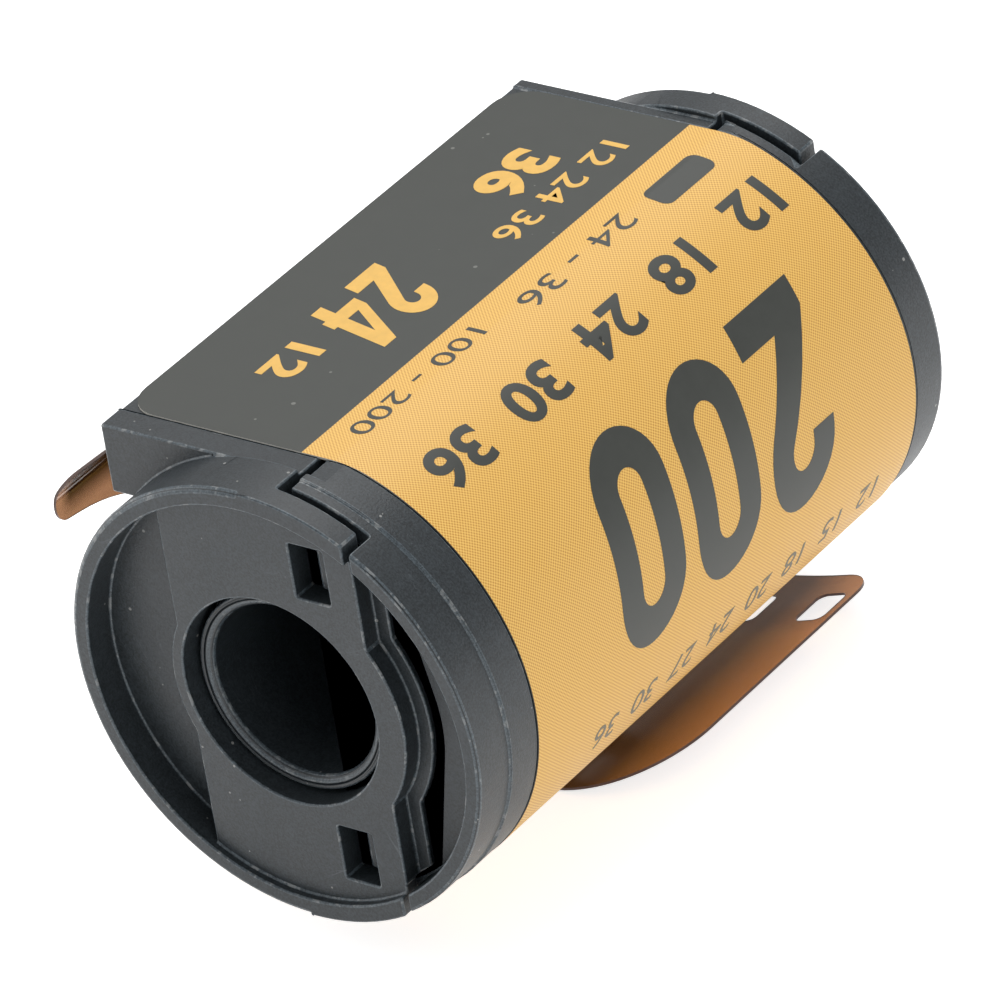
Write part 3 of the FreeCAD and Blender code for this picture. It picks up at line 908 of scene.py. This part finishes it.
# Leader's path in mm, from inside the case: ("run", length) or ("bend", radius, degrees)
LEADER_START = (1.0, 10.1, 180.0)
LEADER_PATH = [
    ("run", 11.8), ("bend", 1.5, 39.0), ("run", 2.7), ("bend", 10.0, 13.0), ("bend", 1.75, 38.0),
    ("run", 8.08), ("bend", 12.3, 90.0), ("run", 4.8), ("bend", 9.0, 12.0), ("bend", 40.0, 7.9),
]
FILM_THICKNESS = 0.15 * MM
TONGUE_WIDTH = 21.8 * MM
CUT_TOP_Z = 4.38 * MM          # where the leader's near edge turns into the cut
CUT_CORNER = 0.9 * MM
TONGUE_CORNERS = (6.0 * MM, 2.0 * MM)    # near and far corner of the tip
HOLE_EDGE = 3.41 * MM          # film's edge to the middle of the holes
LAST_HOLE = 1.5 * MM           # tip to the middle of the last hole
FIRST_HOLE = 2.0 * MM          # least distance from the hidden end to a hole
HOLE_LENGTH, HOLE_WIDTH, HOLE_CORNER = 1.98 * MM, 2.8 * MM, 0.55 * MM


def leader_track(step):
    """Stations along the leader: distance, x, z and heading."""
    x, z, heading = LEADER_START[0] * MM, LEADER_START[1] * MM, math.radians(LEADER_START[2])
    track, gone = [(0.0, x, z, heading)], 0.0
    for kind, size, *turn in LEADER_PATH:
        angle = math.radians(turn[0]) if turn else 0.0
        length = size * MM * (angle if turn else 1.0)
        count = max(1, math.ceil(length / step))
        for _ in range(count):
            heading += angle / count / 2
            reach = length / count
            if turn:
                reach = 2 * size * MM * math.sin(angle / count / 2)
            x, z = x + reach * math.cos(heading), z + reach * math.sin(heading)
            heading += angle / count / 2
            gone += length / count
            track.append((gone, x, z, heading))
    return track


def leader_place(track, along):
    """Point and upper-side normal of the leader at a distance."""
    index = min(range(1, len(track)), key=lambda k: (track[k][0] < along - 1e-9, k))
    before, after = track[index - 1], track[index]
    share = min(1.0, max(0.0, (along - before[0]) / (after[0] - before[0])))
    x, z, heading = (a + (b - a) * share for a, b in zip(before[1:], after[1:]))
    return Vector((x, 0.0, z)), Vector((-math.sin(heading), 0.0, math.cos(heading)))


def fall_to(track, level):
    """Distance at which the leader has come down to a height."""
    for before, after in zip(track, track[1:]):
        if after[2] <= level < before[2]:
            share = (before[2] - level) / (before[2] - after[2])
            return before[0] + (after[0] - before[0]) * share
    raise ValueError("the leader never comes down to this height")


def leader_outline(track):
    """Flat outline of the leader, with X along it and Y across it."""
    near, far, end = LEADER_LOW.y, LEADER_HIGH.y, track[-1][0]
    tongue = far - TONGUE_WIDTH
    radius = tongue - near
    edge = [(0.0, near)]
    for y, drop in arc((near + CUT_CORNER, CUT_CORNER), CUT_CORNER, 180.0, 270.0, 6):
        edge.append((fall_to(track, CUT_TOP_Z + drop), y))
    meet = math.degrees(math.acos(CUT_CORNER / radius))
    for y, drop in arc((near, -radius), radius, meet, 0.0, 24)[1:]:
        edge.append((fall_to(track, CUT_TOP_Z + drop), y))
    first, last = TONGUE_CORNERS
    edge += arc((end - first, tongue + first), first, 270.0, 360.0)
    edge += arc((end - last, far - last), last, 0.0, 90.0, 10)
    return edge + [(0.0, far)]


def perforated_strip():
    """Node tree that fills a flat outline and punches a row of rounded holes along each edge."""
    shade, given, result = new_group(
        "perforated_strip",
        [("Outline", "Geometry"), ("Pitch", "Float"), ("Hole Length", "Float"),
         ("Hole Width", "Float"), ("Hole Corner", "Float"), ("Far Start", "Vector"),
         ("Far Count", "Int"), ("Near Start", "Vector"), ("Near Count", "Int"),
         ("Material", "Material")],
        [("Geometry", "Geometry")], "GeometryNodeTree")
    value = given.outputs
    hole = shade.node("GeometryNodeCurvePrimitiveQuadrilateral", Width=value["Hole Length"],
                      Height=value["Hole Width"])
    round_hole = shade.node("GeometryNodeFilletCurve", mode="POLY", Curve=hole.outputs[0],
                            Count=5, Radius=value["Hole Corner"])
    back = shade.node("ShaderNodeCombineXYZ", X=shade.product(value["Pitch"], -1.0))
    join = shade.node("GeometryNodeJoinGeometry", Geometry=value["Outline"])
    for row in ("Far", "Near"):
        line = shade.node("GeometryNodeMeshLine", Count=value[row + " Count"],
                          Start_Location=value[row + " Start"], Offset=back.outputs[0])
        holes = shade.node("GeometryNodeInstanceOnPoints", Points=line.outputs[0],
                           Instance=round_hole.outputs[0])
        real = shade.node("GeometryNodeRealizeInstances", Geometry=holes.outputs[0])
        shade.set(join.inputs[0], real.outputs[0])
    filled = shade.node("GeometryNodeFillCurve", Curve=join.outputs[0])
    real = shade.node("GeometryNodeRealizeInstances", Geometry=filled.outputs[0])
    finish = shade.node("GeometryNodeSetMaterial", Geometry=real.outputs[0],
                        Material=value["Material"])
    shade.set(result.inputs[0], finish.outputs[0])
    return shade.tree


def through_nodes(data, name, tree, values):
    """Plain mesh that a Geometry Nodes tree makes of a curve or mesh."""
    holder = placed(name + "_raw", data)
    modifier = holder.modifiers.new("nodes", "NODES")
    modifier.node_group = tree
    sockets = {item.name: item.identifier for item in tree.interface.items_tree
               if item.in_out == "INPUT"}
    for label, value in values.items():
        modifier[sockets[label]] = value
    return made_plain(holder, name)


def perforated_sheet(settings, track, material):
    """Flat leader with its perforations."""
    end, near, far = track[-1][0], LEADER_LOW.y, LEADER_HIGH.y
    last = end - LAST_HOLE
    far_count = int((last - FIRST_HOLE) / settings.pitch) + 1
    full_width = fall_to(track, CUT_TOP_Z + HOLE_LENGTH)
    near_first = math.ceil((last - full_width) / settings.pitch)
    outline = flat_outlines([leader_outline(track)])
    outline.dimensions = "3D"
    return through_nodes(outline, "leader_sheet", perforated_strip(), {
        "Pitch": settings.pitch, "Hole Length": HOLE_LENGTH, "Hole Width": HOLE_WIDTH,
        "Hole Corner": HOLE_CORNER, "Far Start": (last, far - HOLE_EDGE, 0.0),
        "Far Count": far_count,
        "Near Start": (last - near_first * settings.pitch, near + HOLE_EDGE, 0.0),
        "Near Count": far_count - near_first, "Material": material})


class CARTRIDGE_OT_film(bpy.types.Operator):
    """Bends the perforated leader along its path and gives the wound film its turns"""
    bl_idname = "cartridge.film"
    bl_label = "Lay Film"

    def execute(self, context):
        settings = context.scene.cartridge_film
        clear = film_clear(settings)
        track = leader_track(settings.slice)
        work = cleaned(from_mesh(perforated_sheet(settings, track, clear)), FLAT_ANGLE)
        facing_out(work)
        for station in track[1:-1]:
            cut_across(work, station[0])
        mesh = applied(to_mesh(work, "leader_flat"), "film_leader_sheet", "SOLIDIFY",
                       thickness=FILM_THICKNESS, offset=0.0, material_offset_rim=1)
        self.bend(mesh, track)
        materials = [clear, film_edge(settings)]
        piece = new_piece("film_leader_sheet", mesh, "case", materials)
        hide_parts("film_leader")
        dress("film_roll", film_wound(settings))
        return {"FINISHED"}

    def bend(self, mesh, track):
        """Bends the flat, thick leader along its path, and keeps its faces' exact normals."""
        for polygon in mesh.polygons:
            polygon.use_smooth = True
        places = [leader_place(track, vertex.co.x) for vertex in mesh.vertices]
        normals = [None] * len(mesh.loops)
        for polygon in mesh.polygons:
            flat = polygon.normal
            for index in polygon.loop_indices:
                up = places[mesh.loops[index].vertex_index][1]
                ahead = Vector((up.z, 0.0, -up.x))
                normals[index] = up * flat.z + ahead * flat.x + Vector((0.0, flat.y, 0.0))
        for vertex, (centre, up) in zip(mesh.vertices, places):
            vertex.co = centre + up * vertex.co.z + Vector((0.0, vertex.co.y, 0.0))
        mesh.normals_split_custom_set(normals)


def plush_fibres():
    """Node tree that plants short, leaning fibres on a surface."""
    shade, given, result = new_group(
        "plush_fibres",
        [("Surface", "Geometry"), ("Pile", "Float"), ("Density", "Float"), ("Seed", "Int"),
         ("Material", "Material")],
        [("Geometry", "Geometry")], "GeometryNodeTree")
    value = given.outputs
    density = shade.product(value["Density"], 1.0 / MM ** 2)
    spread = shade.node("GeometryNodeDistributePointsOnFaces", Mesh=value["Surface"],
                        Density=density, Seed=value["Seed"])
    fibre = shade.node("GeometryNodeMeshCone", Vertices=3, Radius_Top=0.006 * MM,
                       Radius_Bottom=0.016 * MM, Depth=value["Pile"])
    lean = shade.node("FunctionNodeRandomValue", data_type="FLOAT_VECTOR",
                      Min=(-0.6, -0.6, 0.0), Max=(0.6, 0.6, 6.28), Seed=value["Seed"])
    turn = shade.node("FunctionNodeRotateRotation", rotation_space="LOCAL")
    shade.set(turn.inputs[0], spread.outputs["Rotation"])
    shade.set(turn.inputs[1], lean.outputs["Value"])
    plant = shade.node("GeometryNodeInstanceOnPoints", Points=spread.outputs["Points"],
                       Instance=fibre.outputs["Mesh"], Rotation=turn.outputs[0])
    real = shade.node("GeometryNodeRealizeInstances", Geometry=plant.outputs[0])
    finish = shade.node("GeometryNodeSetMaterial", Geometry=real.outputs[0],
                        Material=value["Material"])
    shade.set(result.inputs[0], finish.outputs[0])
    return shade.tree


class CARTRIDGE_OT_plush(bpy.types.Operator):
    """Gives the light trap its plush, with fibres at the mouth of the slot"""
    bl_idname = "cartridge.plush"
    bl_label = "Finish Light Trap"

    def execute(self, context):
        settings = context.scene.cartridge_plush
        material = plush_black()
        tree = plush_fibres()
        for node in ("felt_upper", "felt_lower"):
            dress(node, material)
            low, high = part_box(node)
            mouth = quad(node + "_mouth", [(low.x, low.y, low.z), (low.x, low.y, high.z),
                                           (low.x, high.y, high.z), (low.x, high.y, low.z)])
            fibres = through_nodes(mouth, node + "_fibres", tree, {
                "Pile": settings.pile, "Density": settings.density, "Seed": settings.seed,
                "Material": material})
            new_piece(node + "_fibres", fibres, "case", [material])
        return {"FINISHED"}


def white_for_camera(shade, surface, strength):
    """Adds white to what the camera sees of a surface, and half as much of it through film."""
    rays = shade.node("ShaderNodeLightPath")
    seen = shade.math("MAXIMUM", rays.outputs["Is Camera Ray"], rays.outputs["Is Glossy Ray"])
    through = shade.product(rays.outputs["Is Transmission Ray"], 0.5)
    seen = shade.math("MAXIMUM", seen, through)
    glow = shade.node("ShaderNodeEmission", Strength=shade.product(seen, strength))
    both = shade.node("ShaderNodeAddShader")
    shade.set(both.inputs[0], surface)
    shade.set(both.inputs[1], glow.outputs[0])
    return both.outputs[0]


class CARTRIDGE_OT_studio(bpy.types.Operator):
    """Sets up the floor, the lamps and the camera"""
    bl_idname = "cartridge.studio"
    bl_label = "Set Up Studio"

    def execute(self, context):
        settings = context.scene.cartridge_studio
        self.floor(settings)
        self.sky(settings)
        self.lamp("key", (-0.12, 0.25, 0.55), 0.5, settings.key_power)
        self.lamp("side", (-0.5, -0.15, 0.22), 0.4, settings.side_power)
        self.lamp("fill", (0.5, -0.1, 0.1), 0.4, settings.fill_power)
        self.camera()
        context.scene.view_settings.view_transform = "Standard"
        return {"FINISHED"}

    def floor(self, settings):
        half, level = settings.floor_size / 2, CAD_LOW.z
        mesh = quad("floor", [(-half, -half, level), (half, -half, level),
                              (half, half, level), (-half, half, level)])
        material = bpy.data.materials.new("floor_white")
        shade = emptied(material)
        matt = shade.node("ShaderNodeBsdfDiffuse", Color=(0.9, 0.9, 0.9))
        white = white_for_camera(shade, matt.outputs[0], 0.72)
        shade.node("ShaderNodeOutputMaterial", Surface=white)
        mesh.materials.append(material)
        placed("floor", mesh)

    def sky(self, settings):
        world = bpy.data.worlds.new("studio")
        shade = emptied(world)
        rays = shade.node("ShaderNodeLightPath").outputs
        seen = shade.math("MAXIMUM", rays["Is Camera Ray"], rays["Is Transmission Ray"])
        strength = shade.math("ADD", shade.product(seen, 1.0 - settings.sky), settings.sky)
        background = shade.node("ShaderNodeBackground", Strength=strength)
        shade.node("ShaderNodeOutputWorld", Surface=background.outputs[0])
        bpy.context.scene.world = world

    def lamp(self, name, place, size, power):
        """Square soft lamp that points at the cartridge."""
        data = bpy.data.lights.new(name, "AREA")
        data.shape = "SQUARE"
        data.size = size
        data.energy = power
        lamp = placed(name, data)
        lamp.location = place
        aim = (CAD_LOW + CAD_HIGH) / 2 - Vector(place)
        lamp.rotation_euler = aim.to_track_quat("-Z", "Y").to_euler()

    def camera(self):
        data = bpy.data.cameras.new("camera")
        data.lens = CAMERA_LENS
        data.sensor_width = SENSOR_WIDTH
        data.clip_start, data.clip_end = 0.01, 20.0
        camera = placed("camera", data)
        turn = Matrix((CAMERA_RIGHT, CAMERA_UP, CAMERA_BACK)).transposed()
        camera.matrix_world = Matrix.Translation(CAMERA_PLACE) @ turn.to_4x4()
        bpy.context.scene.camera = camera


PIECE_OPERATORS = [
    CARTRIDGE_OT_studio,
    CARTRIDGE_OT_case,
    CARTRIDGE_OT_spool,
    CARTRIDGE_OT_label,
    CARTRIDGE_OT_print,
    CARTRIDGE_OT_film,
    CARTRIDGE_OT_plush,
]


class CARTRIDGE_PT_panel(bpy.types.Panel):
    """Lists the cartridge's settings and steps"""
    bl_idname = "CARTRIDGE_PT_panel"
    bl_label = "Film Cartridge"
    bl_space_type = "VIEW_3D"
    bl_region_type = "UI"
    bl_category = "Cartridge"

    def draw(self, context):
        for group, kind in SETTINGS.items():
            column = self.layout.column(align=True)
            for key in kind.__annotations__:
                column.prop(getattr(context.scene, group), key)
        for step in PIECE_OPERATORS:
            self.layout.operator(step.bl_idname)


def register():
    for kind in [*SETTINGS.values(), *PIECE_OPERATORS, CARTRIDGE_PT_panel]:
        bpy.utils.register_class(kind)
    for group, kind in SETTINGS.items():
        setattr(bpy.types.Scene, group, bpy.props.PointerProperty(type=kind))


def unregister():
    for group in SETTINGS:
        delattr(bpy.types.Scene, group)
    for kind in [CARTRIDGE_PT_panel, *PIECE_OPERATORS, *SETTINGS.values()]:
        bpy.utils.unregister_class(kind)


def main():
    register()
    bpy.ops.cartridge.studio()
    bpy.ops.cartridge.case()
    bpy.ops.cartridge.spool()
    bpy.ops.cartridge.label()
    bpy.ops.cartridge.print()
    bpy.ops.cartridge.film()
    bpy.ops.cartridge.plush()


if __name__ == "__main__":
    main()
